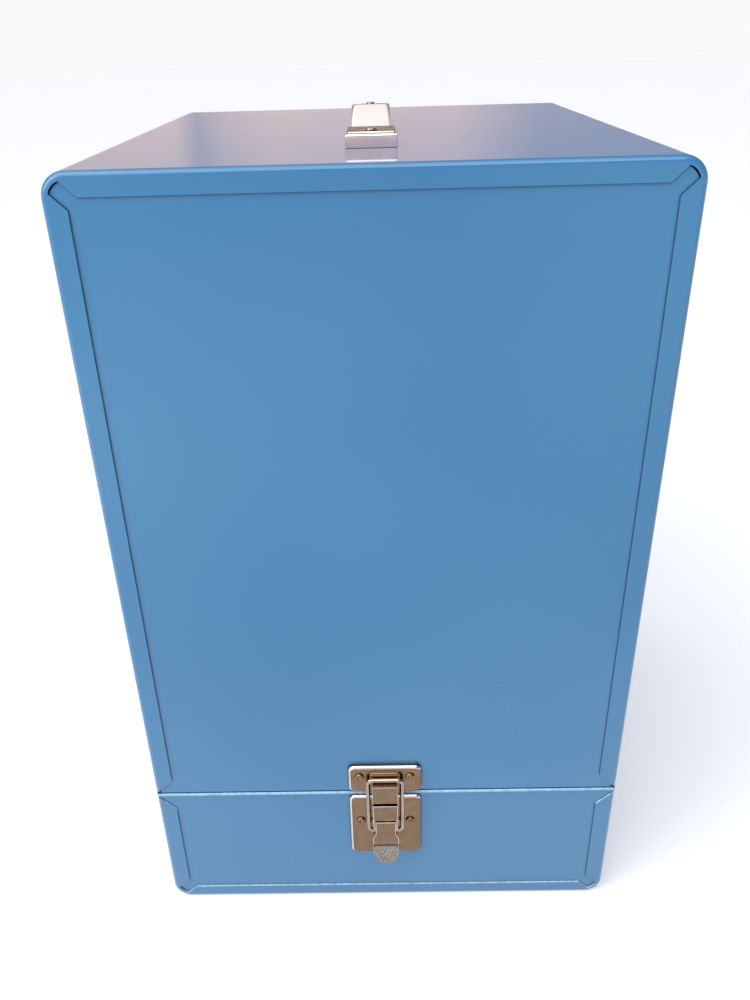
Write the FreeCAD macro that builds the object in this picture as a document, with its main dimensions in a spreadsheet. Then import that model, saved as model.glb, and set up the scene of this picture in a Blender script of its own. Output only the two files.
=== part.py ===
import FreeCAD, Part
import math
import os
import re
import Sketcher

# Lantern carrying case of painted sheet steel: a low base tray, a tall cover hinged to it at the
# rear, an over-centre draw latch in front and a lifting strap handle on top.
# Millimetres. Origin at the middle of the base's underside, +X right, +Y to the hinge, +Z up.

# Name, size and what the size is.
SIZES = [
    ("case_width", 235.0, "width over the side walls"),
    ("case_depth", 235.0, "depth over the front and rear flanges"),
    ("case_height", 390.0, "height of the cover's top above the floor"),
    ("base_height", 80.5, "height of the base tray"),
    ("split_gap", 1.0, "gap between base and cover"),
    ("wall", 0.8, "sheet thickness"),
    ("corner_radius", 9.5, "radius of the wrap where it turns a corner of the outline"),
    ("bend_radius", 2.5, "outer radius of the bend from a wall to its flange"),
    ("flange_top", 9.0, "width of the cover's top flange"),
    ("flange_side", 9.3, "width of the side flanges"),
    ("flange_bottom", 8.3, "width of the base's bottom flange"),
    ("flange_relief", 0.5, "straight end of the cover's side flange below its slanted cut"),
    ("notch_width", 6.2, "width of the diagonal channel between two flanges"),
    ("notch_margin", 3.0, "rim left outside a diagonal channel"),
    ("panel_corner", 9.3, "corner radius of the front and rear panels"),
    ("hem_height", 6.0, "height of a folded hem"),
    ("bead_height", 2.2, "height of the rounded bead on the base's front edge"),
    ("bead_round", 1.5, "rounding of that bead's upper edge"),
    ("bead_foot_round", 0.5, "rounding of that bead's lower edge"),
    ("fit", 0.1, "clearance of pieces that are set into one another and fixed"),
    ("running_fit", 0.05, "radial clearance of what turns or is riveted in a hole"),
    ("collar_rise", 10.0, "height of the collar above the base"),
    ("collar_drop", 20.0, "depth of the collar below the base's edge"),
    ("collar_radius", 4.0, "corner radius of the collar"),
    ("collar_gap", 0.35, "gap from the collar to the side walls"),
    ("collar_swing", 0.7, "gap from the collar to the hems of the panels"),
    ("seat_radius", 75.0, "inner radius of the seat ring"),
    ("seat_height", 13.0, "height of the seat ring"),
    ("seat_foot", 15.0, "width of the seat ring's foot"),
    ("hinge_inset", 22.5, "distance of the hinge's ends from the planes of the side walls"),
    ("knuckle_radius", 2.5, "outer radius of the hinge knuckles"),
    ("knuckle_lift", 0.2, "gap from the knuckles to the rear panels"),
    ("knuckle_gap", 0.4, "gap between neighbouring knuckles"),
    ("knuckle_count", 19, "number of knuckles, lower and upper together"),
    ("hinge_pin_radius", 1.2, "radius of the hinge pin"),
    ("leaf_wall", 0.9, "thickness of the hinge leaves"),
    ("leaf_height", 20.0, "height of a hinge leaf from the pin's axis"),
    ("leaf_rivet_height", 12.0, "height of the leaf rivets from the pin's axis"),
    ("leaf_rivet_inset", 10.0, "distance of the outermost leaf rivets from the hinge's ends"),
    ("rivet_radius", 1.6, "radius of the rivet shanks"),
    ("rivet_head_radius", 2.4, "radius of the rivet heads"),
    ("rivet_head_height", 1.0, "height of the rivet heads"),
    ("rivet_head_round", 0.8, "rounding of the rivet heads"),
    ("plate_width", 36.5, "width of the latch's two plates"),
    ("plate_depth", 2.6, "depth to which the latch plates are drawn"),
    ("plate_wall", 0.6, "thickness of the latch plates"),
    ("plate_corner", 3.0, "corner radius of the latch plates"),
    ("plate_round", 1.4, "rounding of the latch plates' front edge"),
    ("strike_rise", 1.4, "height of the strike plate's underside above the cover's edge"),
    ("strike_height", 17.2, "height of the strike plate"),
    ("strike_rivet_height", 10.6, "height of the strike's rivets above its underside"),
    ("plate_rivet_inset", 5.55, "distance of a latch plate's rivets from its sides"),
    ("latch_plate_height", 42.3, "height of the latch's lower plate"),
    ("latch_plate_drop", 0.9, "depth of that plate's top below the base's edge"),
    ("latch_rivet_drop", 17.6, "depth of its rivets below its upper edge"),
    ("tongue_width", 12.6, "width of the hook and of the bridge"),
    ("tongue_reach", 8.4, "how far hook and bridge stand out from the panels"),
    ("tongue_wall", 1.2, "thickness of the hook and of the bridge's front"),
    ("hook_drop", 1.5, "depth of the hook below the strike plate"),
    ("hook_height", 10.9, "height of the hook's shelf above the hook's underside"),
    ("hook_shelf_back", 3.0, "distance of the shelf's rear edge from the panel"),
    ("hook_lip", 0.35, "height of the lip at the shelf's front edge"),
    ("bridge_drop", 0.3, "depth of the bridge's top below the latch plate's top"),
    ("bridge_front", 10.2, "height of the bridge's front wall"),
    ("bridge_side", 17.2, "height of the bridge's side walls"),
    ("bridge_side_wall", 1.0, "thickness of the bridge's side walls"),
    ("pivot_out", 5.6, "distance of the lever's pivot from the panels"),
    ("pivot_drop", 14.2, "depth of the lever's pivot below the latch plate's top"),
    ("pivot_radius", 1.2, "radius of the lever's pivot pin"),
    ("pivot_overhang", 0.6, "how far the pivot pin stands out of the bridge at each side"),
    ("crank", 6.5, "distance from the lever's pivot to the bail's ends"),
    ("lever_offset", 1.45, "distance of the lever's plate from its pivot's axis"),
    ("lever_wall", 1.05, "thickness of the lever"),
    ("lever_side_gap", 0.15, "gap from the lever's neck to the bridge's side walls"),
    ("lever_overhang", 0.3, "how far the lever below its neck is wider than the bridge at each side"),
    ("lever_top", 1.6, "height of the lever's plate and ears above its pivot's axis"),
    ("neck_length", 7.0, "length of the neck below the pivot's axis"),
    ("neck_flare", 3.0, "length over which the neck widens"),
    ("lever_length", 18.0, "length of the lever's flat plate below the pivot's axis"),
    ("tab_length", 8.0, "height of the lever's thumb tab"),
    ("tab_reach", 2.6, "how far the thumb tab is bent out"),
    ("tab_flat", 0.3, "half width of the flat left at the thumb tab's rounded end"),
    ("ear_back", 1.9, "reach of the lever's ears behind the pivot's axis"),
    ("ear_below", 2.6, "length of the ears below the bail's ends"),
    ("ear_wall", 1.0, "thickness of the lever's ears"),
    ("ear_round", 1.4, "rounding of the ears"),
    ("wire_radius", 1.1, "radius of the bail's wire"),
    ("bail_side_gap", 0.55, "gap from the bail's legs to the ends of the pivot pin"),
    ("bail_out", 4.8, "distance of the bail's upper wire from the panels"),
    ("bail_rest", 0.3, "gap from the bail's upper wire to the hook's shelf"),
    ("bail_bend", 2.4, "bend radius of the bail's wire"),
    ("cap_set_back", 41.0, "distance of the handle caps from the front and rear planes"),
    ("cap_length", 19.0, "length of the handle caps"),
    ("cap_side", 1.65, "thickness of a cap beside the strap's slot"),
    ("cap_front", 5.3, "height of a cap's outer edge"),
    ("cap_back", 6.3, "height of a cap's inner edge"),
    ("cap_round", 1.1, "rounding of the caps"),
    ("cap_roof", 0.8, "thickness of a cap over the strap"),
    ("slot_depth", 14.5, "depth of a cap's slot for the strap"),
    ("strap_play", 0.4, "clearance of the strap in the caps' slots"),
    ("strap_width", 16.4, "width of the handle's sleeve"),
    ("strap_thick", 2.8, "thickness of the handle's sleeve"),
    ("strap_insert", 12.5, "length of strap inside a cap"),
    ("strap_rise", 4.0, "rise of the strap's middle above the caps' mouths"),
    ("strap_ramp", 38.0, "length over which the strap rises"),
    ("strap_bend", 150.0, "radius at which the strap bends"),
    ("core_width", 11.0, "width of the steel core"),
    ("core_thick", 0.8, "thickness of the steel core"),
    ("core_play", 0.1, "clearance of the core in its sleeve"),
    ("cap_rivet_set", 9.0, "distance of a cap's rivet from its outer edge"),
    ("strap_slot_play", 0.6, "clearance of the cap's rivet at each side in the strap's slot"),
    ("strap_slot_length", 8.5, "length of the strap's slot"),
]
KNUCKLES = int(dict((name, size) for name, size, _ in SIZES)["knuckle_count"])
LEAF_RIVETS = 6

HALF_WIDTH = "case_width / 2"
HALF_DEPTH = "case_depth / 2"
COVER_LOW = "(base_height + split_gap)"
PANEL_FACE = "(case_depth / 2 - wall)"
PANEL_BACK = "(2 * wall - case_depth / 2)"
HINGE_Y = "(case_depth / 2 - wall + knuckle_lift + knuckle_radius)"
HINGE_Z = "(base_height + split_gap / 2)"
HALF_HINGE = "(case_width / 2 - hinge_inset)"
LATCH_TOP = "(base_height - latch_plate_drop)"
BRIDGE_TOP = "(base_height - latch_plate_drop - bridge_drop)"
STRIKE_LOW = "(base_height + split_gap + strike_rise)"
HOOK_LOW = "(base_height + split_gap + strike_rise - hook_drop)"
SHELF = "(base_height + split_gap + strike_rise - hook_drop + hook_height)"
PIVOT_Y = "(-case_depth / 2 + wall - pivot_out)"
PIVOT_Z = "(base_height - latch_plate_drop - pivot_drop)"
NECK_HALF = "(tongue_width / 2 - bridge_side_wall - lever_side_gap)"
LEVER_HALF = "(tongue_width / 2 + lever_overhang)"
CAP_OUTER = "(case_depth / 2 - cap_set_back)"
CAP_INNER = "(case_depth / 2 - cap_set_back - cap_length)"
CAP_SLOPE = "((cap_back - cap_front) / cap_length)"
SLOT_ROOF = "(case_height + cap_back - cap_roof)"
STRAP_AXIS = "(case_height + cap_back - cap_roof - strap_play - strap_thick / 2)"
RIVET_HOLE = "rivet_radius + running_fit"
NEAR = 1e-4

doc = FreeCAD.newDocument("lantern_case")
sheet = doc.addObject("Spreadsheet::Sheet", "sizes")
for row, (alias, size, meaning) in enumerate(SIZES, 1):
    sheet.set("A%d" % row, meaning)
    sheet.set("B%d" % row, str(size))
    sheet.setAlias("B%d" % row, alias)
doc.recompute()

ALIASES = re.compile(r"\b(%s)\b" % "|".join(name for name, _, _ in SIZES))
nodes = []


def sized(text):
    """Turn a formula in the names of the sheet into an expression of the document."""
    return ALIASES.sub(r"sizes.\1", text)


def new_body(name):
    piece = doc.addObject("PartDesign::Body", name)
    piece.Label = name
    piece.AllowCompound = True
    return piece


def keep(piece, name):
    """Count a finished object as the sub-part of that name."""
    piece.Label = name
    nodes.append(piece)
    return piece


def new_sketch(piece, role, lift="0"):
    sketch = piece.newObject("Sketcher::SketchObject", piece.Name + "_sketch")
    plane = next(each for each in piece.Origin.OriginFeatures if each.Role == role)
    sketch.AttachmentSupport = (plane, "")
    sketch.MapMode = "FlatFace"
    sketch.setExpression("AttachmentOffset.Base.z", sized(lift))
    return sketch


def place_point(sketch, geometry, position, across, up, start):
    for kind, formula, guess in (("DistanceX", across, start.x), ("DistanceY", up, start.y)):
        index = sketch.addConstraint(Sketcher.Constraint(kind, -1, 1, geometry, position, guess))
        sketch.setExpression("Constraints[%d]" % index, sized(formula))


def outline(piece, role, corners, lift="0"):
    """A closed outline with straight sides; each corner is a pair of formulas."""
    sketch = new_sketch(piece, role, lift)
    count = len(corners)
    turn = FreeCAD.Rotation(FreeCAD.Vector(0, 0, 1), 360.0 / count)
    spots = [FreeCAD.Vector(50, 0, 0)]
    for _ in range(count - 1):
        spots.append(turn.multVec(spots[-1]))
    for i in range(count):
        sketch.addGeometry(Part.LineSegment(spots[i], spots[(i + 1) % count]), False)
    for i in range(count):
        sketch.addConstraint(Sketcher.Constraint("Coincident", i, 2, (i + 1) % count, 1))
    for i, (across, up) in enumerate(corners):
        place_point(sketch, i, 1, across, up, spots[i])
    return sketch


def box_outline(piece, role, left, right, low, high, lift="0"):
    corners = [(left, low), (right, low), (right, high), (left, high)]
    return outline(piece, role, corners, lift)


def circles(piece, role, centres, radius, lift="0"):
    sketch = new_sketch(piece, role, lift)
    for i, (across, up) in enumerate(centres):
        start = FreeCAD.Vector(10.0 * i, 0, 0)
        sketch.addGeometry(Part.Circle(start, FreeCAD.Vector(0, 0, 1), 1.0), False)
        place_point(sketch, i, 3, across, up, start)
        index = sketch.addConstraint(Sketcher.Constraint("Radius", i, 1.0))
        sketch.setExpression("Constraints[%d]" % index, sized(radius))
    return sketch


def pad(piece, sketch, length, middle=False, back=False):
    feature = piece.newObject("PartDesign::Pad", piece.Name + "_pad")
    feature.Profile = sketch
    feature.Midplane = middle
    feature.Reversed = back
    feature.setExpression("Length", sized(length))
    doc.recompute()
    return feature


def pocket(piece, sketch, length, middle=True, back=False):
    feature = piece.newObject("PartDesign::Pocket", piece.Name + "_pocket")
    feature.Profile = sketch
    feature.Midplane = middle
    feature.Reversed = back
    feature.setExpression("Length", sized(length))
    before = feature.BaseFeature.Shape.Volume
    doc.recompute()
    if feature.Shape.Volume > before - NEAR:
        raise ValueError(piece.Name + ": a pocket cuts nothing")
    return feature


def picked(shape, kind, test):
    """Names of the edges or faces of a shape that pass a test on their box and the shape's box."""
    items = shape.Edges if kind == "Edge" else shape.Faces
    return [kind + str(i) for i, item in enumerate(items, 1) if test(item.BoundBox, shape.BoundBox)]


def fillet(piece, feature, test, radius):
    rounded = piece.newObject("PartDesign::Fillet", piece.Name + "_fillet")
    rounded.Base = (feature, picked(feature.Shape, "Edge", test))
    rounded.setExpression("Radius", sized(radius))
    doc.recompute()
    return rounded


def hollow(piece, feature, test, thickness):
    shell = piece.newObject("PartDesign::Thickness", piece.Name + "_hollow")
    shell.Base = (feature, picked(feature.Shape, "Face", test))
    shell.Reversed = True
    shell.setExpression("Value", sized(thickness))
    doc.recompute()
    return shell


def same(one, other):
    return abs(one - other) < NEAR


def along_x(edge):
    return edge.XLength > NEAR and edge.YLength < NEAR and edge.ZLength < NEAR


def along_y(edge):
    return edge.YLength > NEAR and edge.XLength < NEAR and edge.ZLength < NEAR


def cut(name, base, tool):
    result = doc.addObject("Part::Cut", name)
    result.Base = base
    result.Tool = tool
    doc.recompute()
    return result


def mirrored(source, name, normal):
    result = doc.addObject("Part::Mirroring", name)
    result.Source = source
    result.Normal = normal
    doc.recompute()
    return result


def corner_channels(name, level):
    """Tools that cut the diagonal channels: a slanted bar kept within a round reach."""
    middle = "case_width / 2 - corner_radius"
    reach = "(corner_radius - notch_margin)"
    upward = "+" if level.startswith("case") else "-"
    bar = new_body(name + "_bar")
    corners = []
    for along, aside in ((-1, -1), (1, -1), (1, 1), (-1, 1)):
        run = "%d * %s * sqrt(0.5)" % (along, reach)
        step = "%d * notch_width / 2 * sqrt(0.5)" % aside
        corners.append(("%s + %s - %s" % (middle, run, step), "%s %s (%s + %s)" % (level, upward, run, step)))
    pad(bar, outline(bar, "XZ_Plane", corners), "case_depth * 2", middle=True)
    limit = doc.addObject("Part::Cylinder", name + "_limit")
    limit.setExpression("Radius", sized(reach))
    limit.setExpression("Height", sized("case_depth * 2"))
    limit.Placement.Rotation = FreeCAD.Rotation(FreeCAD.Vector(1, 0, 0), 90)
    limit.setExpression("Placement.Base.x", sized(middle))
    limit.setExpression("Placement.Base.y", sized("case_depth"))
    limit.setExpression("Placement.Base.z", sized(level))
    right = doc.addObject("Part::MultiCommon", name + "_right")
    right.Shapes = [bar, limit]
    doc.recompute()
    return [right, mirrored(right, name + "_left", FreeCAD.Vector(1, 0, 0))]


def wrap(name, low, high, opens_down, window, corner_level, more_tools):
    """Side walls and top or bottom of one sheet, with flanges turned over the front and the rear."""
    blank = new_body(name + "_blank")
    feature = pad(blank, box_outline(blank, "XZ_Plane", "-" + HALF_WIDTH, HALF_WIDTH, low, high),
                  "case_depth", middle=True)

    def at_open_end(item, whole):
        return same(item.ZMax, whole.ZMin) if opens_down else same(item.ZMin, whole.ZMax)

    def at_closed_end(item, whole):
        return same(item.ZMin, whole.ZMax) if opens_down else same(item.ZMax, whole.ZMin)

    feature = fillet(blank, feature, lambda e, w: along_y(e) and at_closed_end(e, w), "corner_radius")
    feature = fillet(blank, feature, lambda e, w: e.YLength < NEAR and not at_open_end(e, w), "bend_radius")
    feature = hollow(blank, feature, at_open_end, "wall")
    left = [("-(%s)" % across, up) for across, up in reversed(window)]
    pocket(blank, outline(blank, "XZ_Plane", window + left), "case_depth * 2")
    tools = doc.addObject("Part::MultiFuse", name + "_tools")
    tools.Shapes = corner_channels(name, corner_level) + more_tools
    doc.recompute()
    keep(cut(name, blank, tools), name)


def cover_wrap():
    inner = "case_width / 2 - flange_side"
    outer = "case_width / 2 - wall"
    window = [
        (outer, COVER_LOW + " - flange_side"),
        (outer, COVER_LOW + " + flange_relief"),
        (inner, COVER_LOW + " + flange_relief + flange_side - wall"),
        (inner, "case_height - flange_top"),
    ]
    wrap("cover_wrap", COVER_LOW, "case_height", True, window, "case_height - corner_radius", [top_holes()])


def base_wrap():
    inner = "case_width / 2 - flange_side"
    outer = "case_width / 2 - wall"
    window = [
        (inner, "flange_bottom"),
        (inner, "base_height - bead_height - flange_side + wall"),
        (outer, "base_height - bead_height"),
        (outer, "base_height + flange_side"),
    ]
    wrap("base_wrap", "0", "base_height", False, window, "corner_radius", [])


def panel(name, front, low, high, round_top, hem_low, holes):
    """A flat panel behind the flanges, two corners rounded, with a hem folded inwards."""
    side = "" if front else "-"
    half = "(case_width / 2 - bend_radius - fit)"
    piece = new_body(name)
    feature = pad(piece, box_outline(piece, "XZ_Plane", "-" + half, half, low, high, side + PANEL_FACE),
                  "wall", back=front)
    feature = fillet(piece, feature,
                     lambda e, w: along_y(e) and same(e.ZMax, w.ZMax if round_top else w.ZMin), "panel_corner")
    if hem_low:
        lift = "%s(case_depth / 2 - 2 * wall)" % side
        pad(piece, box_outline(piece, "XZ_Plane", "-" + half, half, hem_low, hem_low + " + hem_height", lift),
            "wall", back=front)
    pocket(piece, circles(piece, "XZ_Plane", holes, RIVET_HOLE, side + PANEL_FACE), "wall * 6")
    return keep(piece, name)


def plate_rivets(level):
    return [("%d * (plate_width / 2 - plate_rivet_inset)" % side, level) for side in (-1, 1)]


def leaf_rivets(level):
    """A row of rivets at equal distances from one end of a leaf to the other."""
    last = LEAF_RIVETS - 1
    return [("%d * (%s - leaf_rivet_inset) / %d" % (2 * i - last, HALF_HINGE, last), level)
            for i in range(LEAF_RIVETS)]


STRIKE_RIVETS = plate_rivets(STRIKE_LOW + " + strike_rivet_height")
LATCH_RIVETS = plate_rivets(LATCH_TOP + " - latch_rivet_drop")
UPPER_LEAF_RIVETS = leaf_rivets(HINGE_Z + " + leaf_rivet_height")
LOWER_LEAF_RIVETS = leaf_rivets(HINGE_Z + " - leaf_rivet_height")


def panels():
    cover_top = "case_height - bend_radius - fit"
    base_bottom = "bend_radius + fit"
    panel("cover_front_panel", True, COVER_LOW, cover_top, True, COVER_LOW, STRIKE_RIVETS)
    panel("cover_rear_panel", False, COVER_LOW, cover_top, True, COVER_LOW, UPPER_LEAF_RIVETS)
    panel("base_rear_panel", False, base_bottom, "base_height", False, "base_height - hem_height",
          LOWER_LEAF_RIVETS)
    front = panel("base_front_panel", True, base_bottom, "base_height", False, None, LATCH_RIVETS)
    half = "(case_width / 2 - wall - fit)"
    bead = pad(front, box_outline(front, "XZ_Plane", "-" + half, half, "base_height - bead_height",
                                  "base_height", HALF_DEPTH), "wall * 2", back=True)
    bead = fillet(front, bead, lambda e, w: along_x(e) and same(e.YMin, w.YMin) and not same(e.ZMax, w.ZMax),
                  "bead_foot_round")
    fillet(front, bead, lambda e, w: along_x(e) and same(e.YMin, w.YMin) and same(e.ZMax, w.ZMax),
           "bead_round")


def base_collar():
    """A standing rim inside the base that centres the cover."""
    piece = new_body("base_collar")
    half_x = "(case_width / 2 - wall - collar_gap)"
    half_y = "(case_depth / 2 - 3 * wall - collar_swing)"
    outer = box_outline(piece, "XY_Plane", "-" + half_x, half_x, "-" + half_y, half_y,
                        "base_height - collar_drop")
    feature = pad(piece, outer, "collar_drop + collar_rise")
    feature = fillet(piece, feature, lambda e, w: e.ZLength > NEAR, "collar_radius")
    hollow(piece, feature, lambda f, w: f.ZLength < NEAR, "wall")
    keep(piece, "base_collar")


def lantern_seat_ring():
    """A ring on the floor of the tray that holds the foot of the lantern."""
    piece = new_body("lantern_seat_ring")
    corners = [
        ("seat_radius", "wall"),
        ("seat_radius + seat_foot", "wall"),
        ("seat_radius + seat_foot", "2 * wall"),
        ("seat_radius + wall", "2 * wall"),
        ("seat_radius + wall", "wall + seat_height"),
        ("seat_radius", "wall + seat_height"),
    ]
    sketch = outline(piece, "XZ_Plane", corners)
    ring = piece.newObject("PartDesign::Revolution", "lantern_seat_ring_turned")
    ring.Profile = sketch
    ring.ReferenceAxis = (sketch, ["V_Axis"])
    ring.Angle = 360
    doc.recompute()
    keep(piece, "lantern_seat_ring")


def knuckle_spans(upper):
    """Left and right end of each knuckle of one leaf, as formulas."""
    first = 1 if upper else 0
    share = "(2 * %s / knuckle_count)" % HALF_HINGE
    spans = []
    for i in range(first, KNUCKLES, 2):
        left = "-%s + %d * %s + knuckle_gap / 2" % (HALF_HINGE, i, share)
        right = "-%s + %d * %s - knuckle_gap / 2" % (HALF_HINGE, i + 1, share)
        spans.append((left, right))
    return spans


def hinge_leaf(name, upper, holes):
    """A leaf riveted to a rear panel, with every second knuckle of the hinge."""
    sign = "+" if upper else "-"
    clear = "(knuckle_radius + 2 * knuckle_gap)"
    piece = new_body(name)
    near = "%s %s %s" % (HINGE_Z, sign, clear)
    far = "%s %s leaf_height" % (HINGE_Z, sign)
    low, high = (near, far) if upper else (far, near)
    pad(piece, box_outline(piece, "XZ_Plane", "-" + HALF_HINGE, HALF_HINGE, low, high, "-" + PANEL_FACE),
        "leaf_wall", back=True)
    for left, right in knuckle_spans(upper):
        low, high = (HINGE_Z, near) if upper else (near, HINGE_Z)
        pad(piece, box_outline(piece, "XZ_Plane", left, right, low, high, "-" + PANEL_FACE),
            "leaf_wall", back=True)
        pad(piece, circles(piece, "YZ_Plane", [(HINGE_Y, HINGE_Z)], "knuckle_radius", left),
            "2 * %s / knuckle_count - knuckle_gap" % HALF_HINGE)
    pocket(piece, circles(piece, "YZ_Plane", [(HINGE_Y, HINGE_Z)], "hinge_pin_radius + running_fit"),
           "case_width * 2")
    pocket(piece, circles(piece, "XZ_Plane", holes, RIVET_HOLE, "-" + PANEL_FACE), "leaf_wall * 4")
    keep(piece, name)


def cross_pin(name, y, z, radius, length):
    """A plain pin that lies across the case."""
    pin = doc.addObject("Part::Cylinder", name)
    pin.setExpression("Radius", sized(radius))
    pin.setExpression("Height", sized(length))
    pin.Placement.Rotation = FreeCAD.Rotation(FreeCAD.Vector(0, 1, 0), 90)
    pin.setExpression("Placement.Base.x", sized("-(%s) / 2" % length))
    pin.setExpression("Placement.Base.y", sized(y))
    pin.setExpression("Placement.Base.z", sized(z))
    doc.recompute()
    keep(pin, name)


def head_rims(role, back):
    """A test for the outer rims of rivet heads that face up, to the rear or to the front."""
    if role == "XY_Plane":
        return lambda e, w: same(e.ZMin, w.ZMax)
    if back:
        return lambda e, w: same(e.YMin, w.YMax)
    return lambda e, w: same(e.YMax, w.YMin)


def rivets(name, role, centres, face, grip, back=False):
    """A row of rivets: heads on a face, shanks through the grip and tails behind it."""
    piece = new_body(name)
    tail_face = "%s %s (%s)" % (face, "+" if back else "-", grip)
    pad(piece, circles(piece, role, centres, "rivet_radius", face), grip, back=not back)
    pad(piece, circles(piece, role, centres, "rivet_head_radius", tail_face), "rivet_head_height / 2",
        back=not back)
    heads = pad(piece, circles(piece, role, centres, "rivet_head_radius", face), "rivet_head_height",
                back=back)
    fillet(piece, heads, head_rims(role, back), "rivet_head_round")
    keep(piece, name)


def drawn_plate(piece, low, high):
    """A latch plate drawn as a shallow open tray that lies against a front panel."""
    half = "(plate_width / 2)"
    feature = pad(piece, box_outline(piece, "XZ_Plane", "-" + half, half, low, high, PANEL_FACE), "plate_depth")
    feature = fillet(piece, feature, lambda e, w: along_y(e), "plate_corner")
    feature = fillet(piece, feature, lambda e, w: same(e.YMax, w.YMin), "plate_round")
    return hollow(piece, feature, lambda f, w: same(f.YMin, w.YMax), "plate_wall")


def out(distance):
    """The Y of a point that stands out from the front panels by a distance."""
    return "-%s - (%s)" % (PANEL_FACE, distance)


def strike_plate():
    piece = new_body("strike_plate")
    drawn_plate(piece, STRIKE_LOW, STRIKE_LOW + " + strike_height")
    front = "tongue_reach"
    inside = "tongue_reach - tongue_wall"
    root = "plate_depth - plate_wall"
    corners = [
        (out(root), HOOK_LOW),
        (out(front), HOOK_LOW),
        (out(front), SHELF + " + hook_lip"),
        (out(inside), SHELF + " + hook_lip"),
        (out(inside), SHELF),
        (out("hook_shelf_back"), SHELF),
        (out("hook_shelf_back"), SHELF + " - tongue_wall"),
        (out(inside), SHELF + " - tongue_wall"),
        (out(inside), HOOK_LOW + " + tongue_wall"),
        (out("plate_depth"), HOOK_LOW + " + tongue_wall"),
        (out("plate_depth"), STRIKE_LOW + " + plate_corner"),
        (out(root), STRIKE_LOW + " + plate_corner"),
    ]
    pad(piece, outline(piece, "YZ_Plane", corners), "tongue_width", middle=True)
    pocket(piece, circles(piece, "XZ_Plane", STRIKE_RIVETS, RIVET_HOLE, PANEL_FACE), "plate_depth * 4")
    keep(piece, "strike_plate")


def latch_base_plate():
    piece = new_body("latch_base_plate")
    drawn_plate(piece, LATCH_TOP + " - latch_plate_height", LATCH_TOP)
    root = "plate_depth - plate_wall"
    inside = "tongue_reach - tongue_wall"
    corners = [
        (out(root), BRIDGE_TOP),
        (out("tongue_reach"), BRIDGE_TOP),
        (out("tongue_reach"), BRIDGE_TOP + " - bridge_front"),
        (out(inside), BRIDGE_TOP + " - bridge_front"),
        (out(inside), BRIDGE_TOP + " - tongue_wall"),
        (out(root), BRIDGE_TOP + " - tongue_wall"),
    ]
    pad(piece, outline(piece, "YZ_Plane", corners), "tongue_width", middle=True)
    for lift in ("tongue_width / 2 - bridge_side_wall", "-tongue_width / 2"):
        pad(piece, box_outline(piece, "YZ_Plane", out("tongue_reach"), out(root),
                               BRIDGE_TOP + " - bridge_side", BRIDGE_TOP, lift), "bridge_side_wall")
    pocket(piece, circles(piece, "YZ_Plane", [(PIVOT_Y, PIVOT_Z)], "pivot_radius + running_fit / 2"),
           "tongue_width * 2")
    pocket(piece, box_outline(piece, "YZ_Plane", out("wall + fit"), PANEL_BACK,
                              "base_height - bead_height - fit", "base_height + fit"), "plate_width * 2")
    pocket(piece, circles(piece, "XZ_Plane", LATCH_RIVETS, RIVET_HOLE, PANEL_FACE), "plate_depth * 4")
    keep(piece, "latch_base_plate")


def lever_plate():
    """The lever's bent plate: its side view and its front view in common."""
    back = "pivot_out + lever_offset"
    front = "pivot_out + lever_offset + lever_wall"
    top = PIVOT_Z + " + lever_top"
    bend = PIVOT_Z + " - lever_length"
    tip = PIVOT_Z + " - lever_length - tab_length"
    side_view = [
        (out(back), top),
        (out(front), top),
        (out(front), bend),
        (out(front + " + tab_reach"), tip),
        (out(back + " + tab_reach"), tip),
        (out(back), bend),
    ]
    bent = new_body("lever_side_view")
    pad(bent, outline(bent, "YZ_Plane", side_view), "4 * " + LEVER_HALF, middle=True)
    right = [
        (LEVER_HALF, tip),
        (LEVER_HALF, PIVOT_Z + " - neck_length - neck_flare"),
        (NECK_HALF, PIVOT_Z + " - neck_length"),
        (NECK_HALF, top),
    ]
    left = [("-" + across, up) for across, up in reversed(right)]
    flat = new_body("lever_front_view")
    feature = pad(flat, outline(flat, "XZ_Plane", right + left), "case_depth * 2", middle=True)
    fillet(flat, feature, lambda e, w: along_y(e) and same(e.ZMax, w.ZMin), LEVER_HALF + " - tab_flat")
    plate = doc.addObject("Part::MultiCommon", "lever_plate")
    plate.Shapes = [bent, flat]
    doc.recompute()
    return plate


def latch_lever():
    """The lever: a plate with a thumb tab, and two ears that hold the pivot and the bail."""
    ears = new_body("lever_ears")
    for lift in (NECK_HALF + " - ear_wall", "-" + NECK_HALF):
        feature = pad(ears, box_outline(ears, "YZ_Plane", out("pivot_out + lever_offset + lever_wall / 2"),
                                        PIVOT_Y + " + ear_back", PIVOT_Z + " - crank - ear_below",
                                        PIVOT_Z + " + lever_top", lift), "ear_wall")
    fillet(ears, feature, lambda e, w: along_x(e) and same(e.YMax, w.YMax), "ear_round")
    for level, radius in ((PIVOT_Z, "pivot_radius"), (PIVOT_Z + " - crank", "wire_radius")):
        hole = circles(ears, "YZ_Plane", [(PIVOT_Y, level)], radius + " + running_fit")
        pocket(ears, hole, "4 * " + LEVER_HALF)
    lever = doc.addObject("Part::MultiFuse", "latch_lever")
    lever.Shapes = [lever_plate(), ears]
    doc.recompute()
    keep(lever, "latch_lever")


def rounded_wire(corners, radius):
    """A path through the corners with each of them rounded by an arc."""
    edges = []
    start = corners[0]
    for before, corner, after in zip(corners, corners[1:], corners[2:]):
        arrive = (before - corner).normalize()
        leave = (after - corner).normalize()
        inward = (arrive + leave).normalize()
        half_angle = arrive.getAngle(leave) / 2
        first = corner + arrive * (radius / math.tan(half_angle))
        last = corner + leave * (radius / math.tan(half_angle))
        middle = corner + inward * (radius / math.sin(half_angle) - radius)
        edges.append(Part.LineSegment(start, first).toShape())
        edges.append(Part.Arc(first, middle, last).toShape())
        start = last
    edges.append(Part.LineSegment(start, corners[-1]).toShape())
    return Part.Wire(edges)


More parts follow.
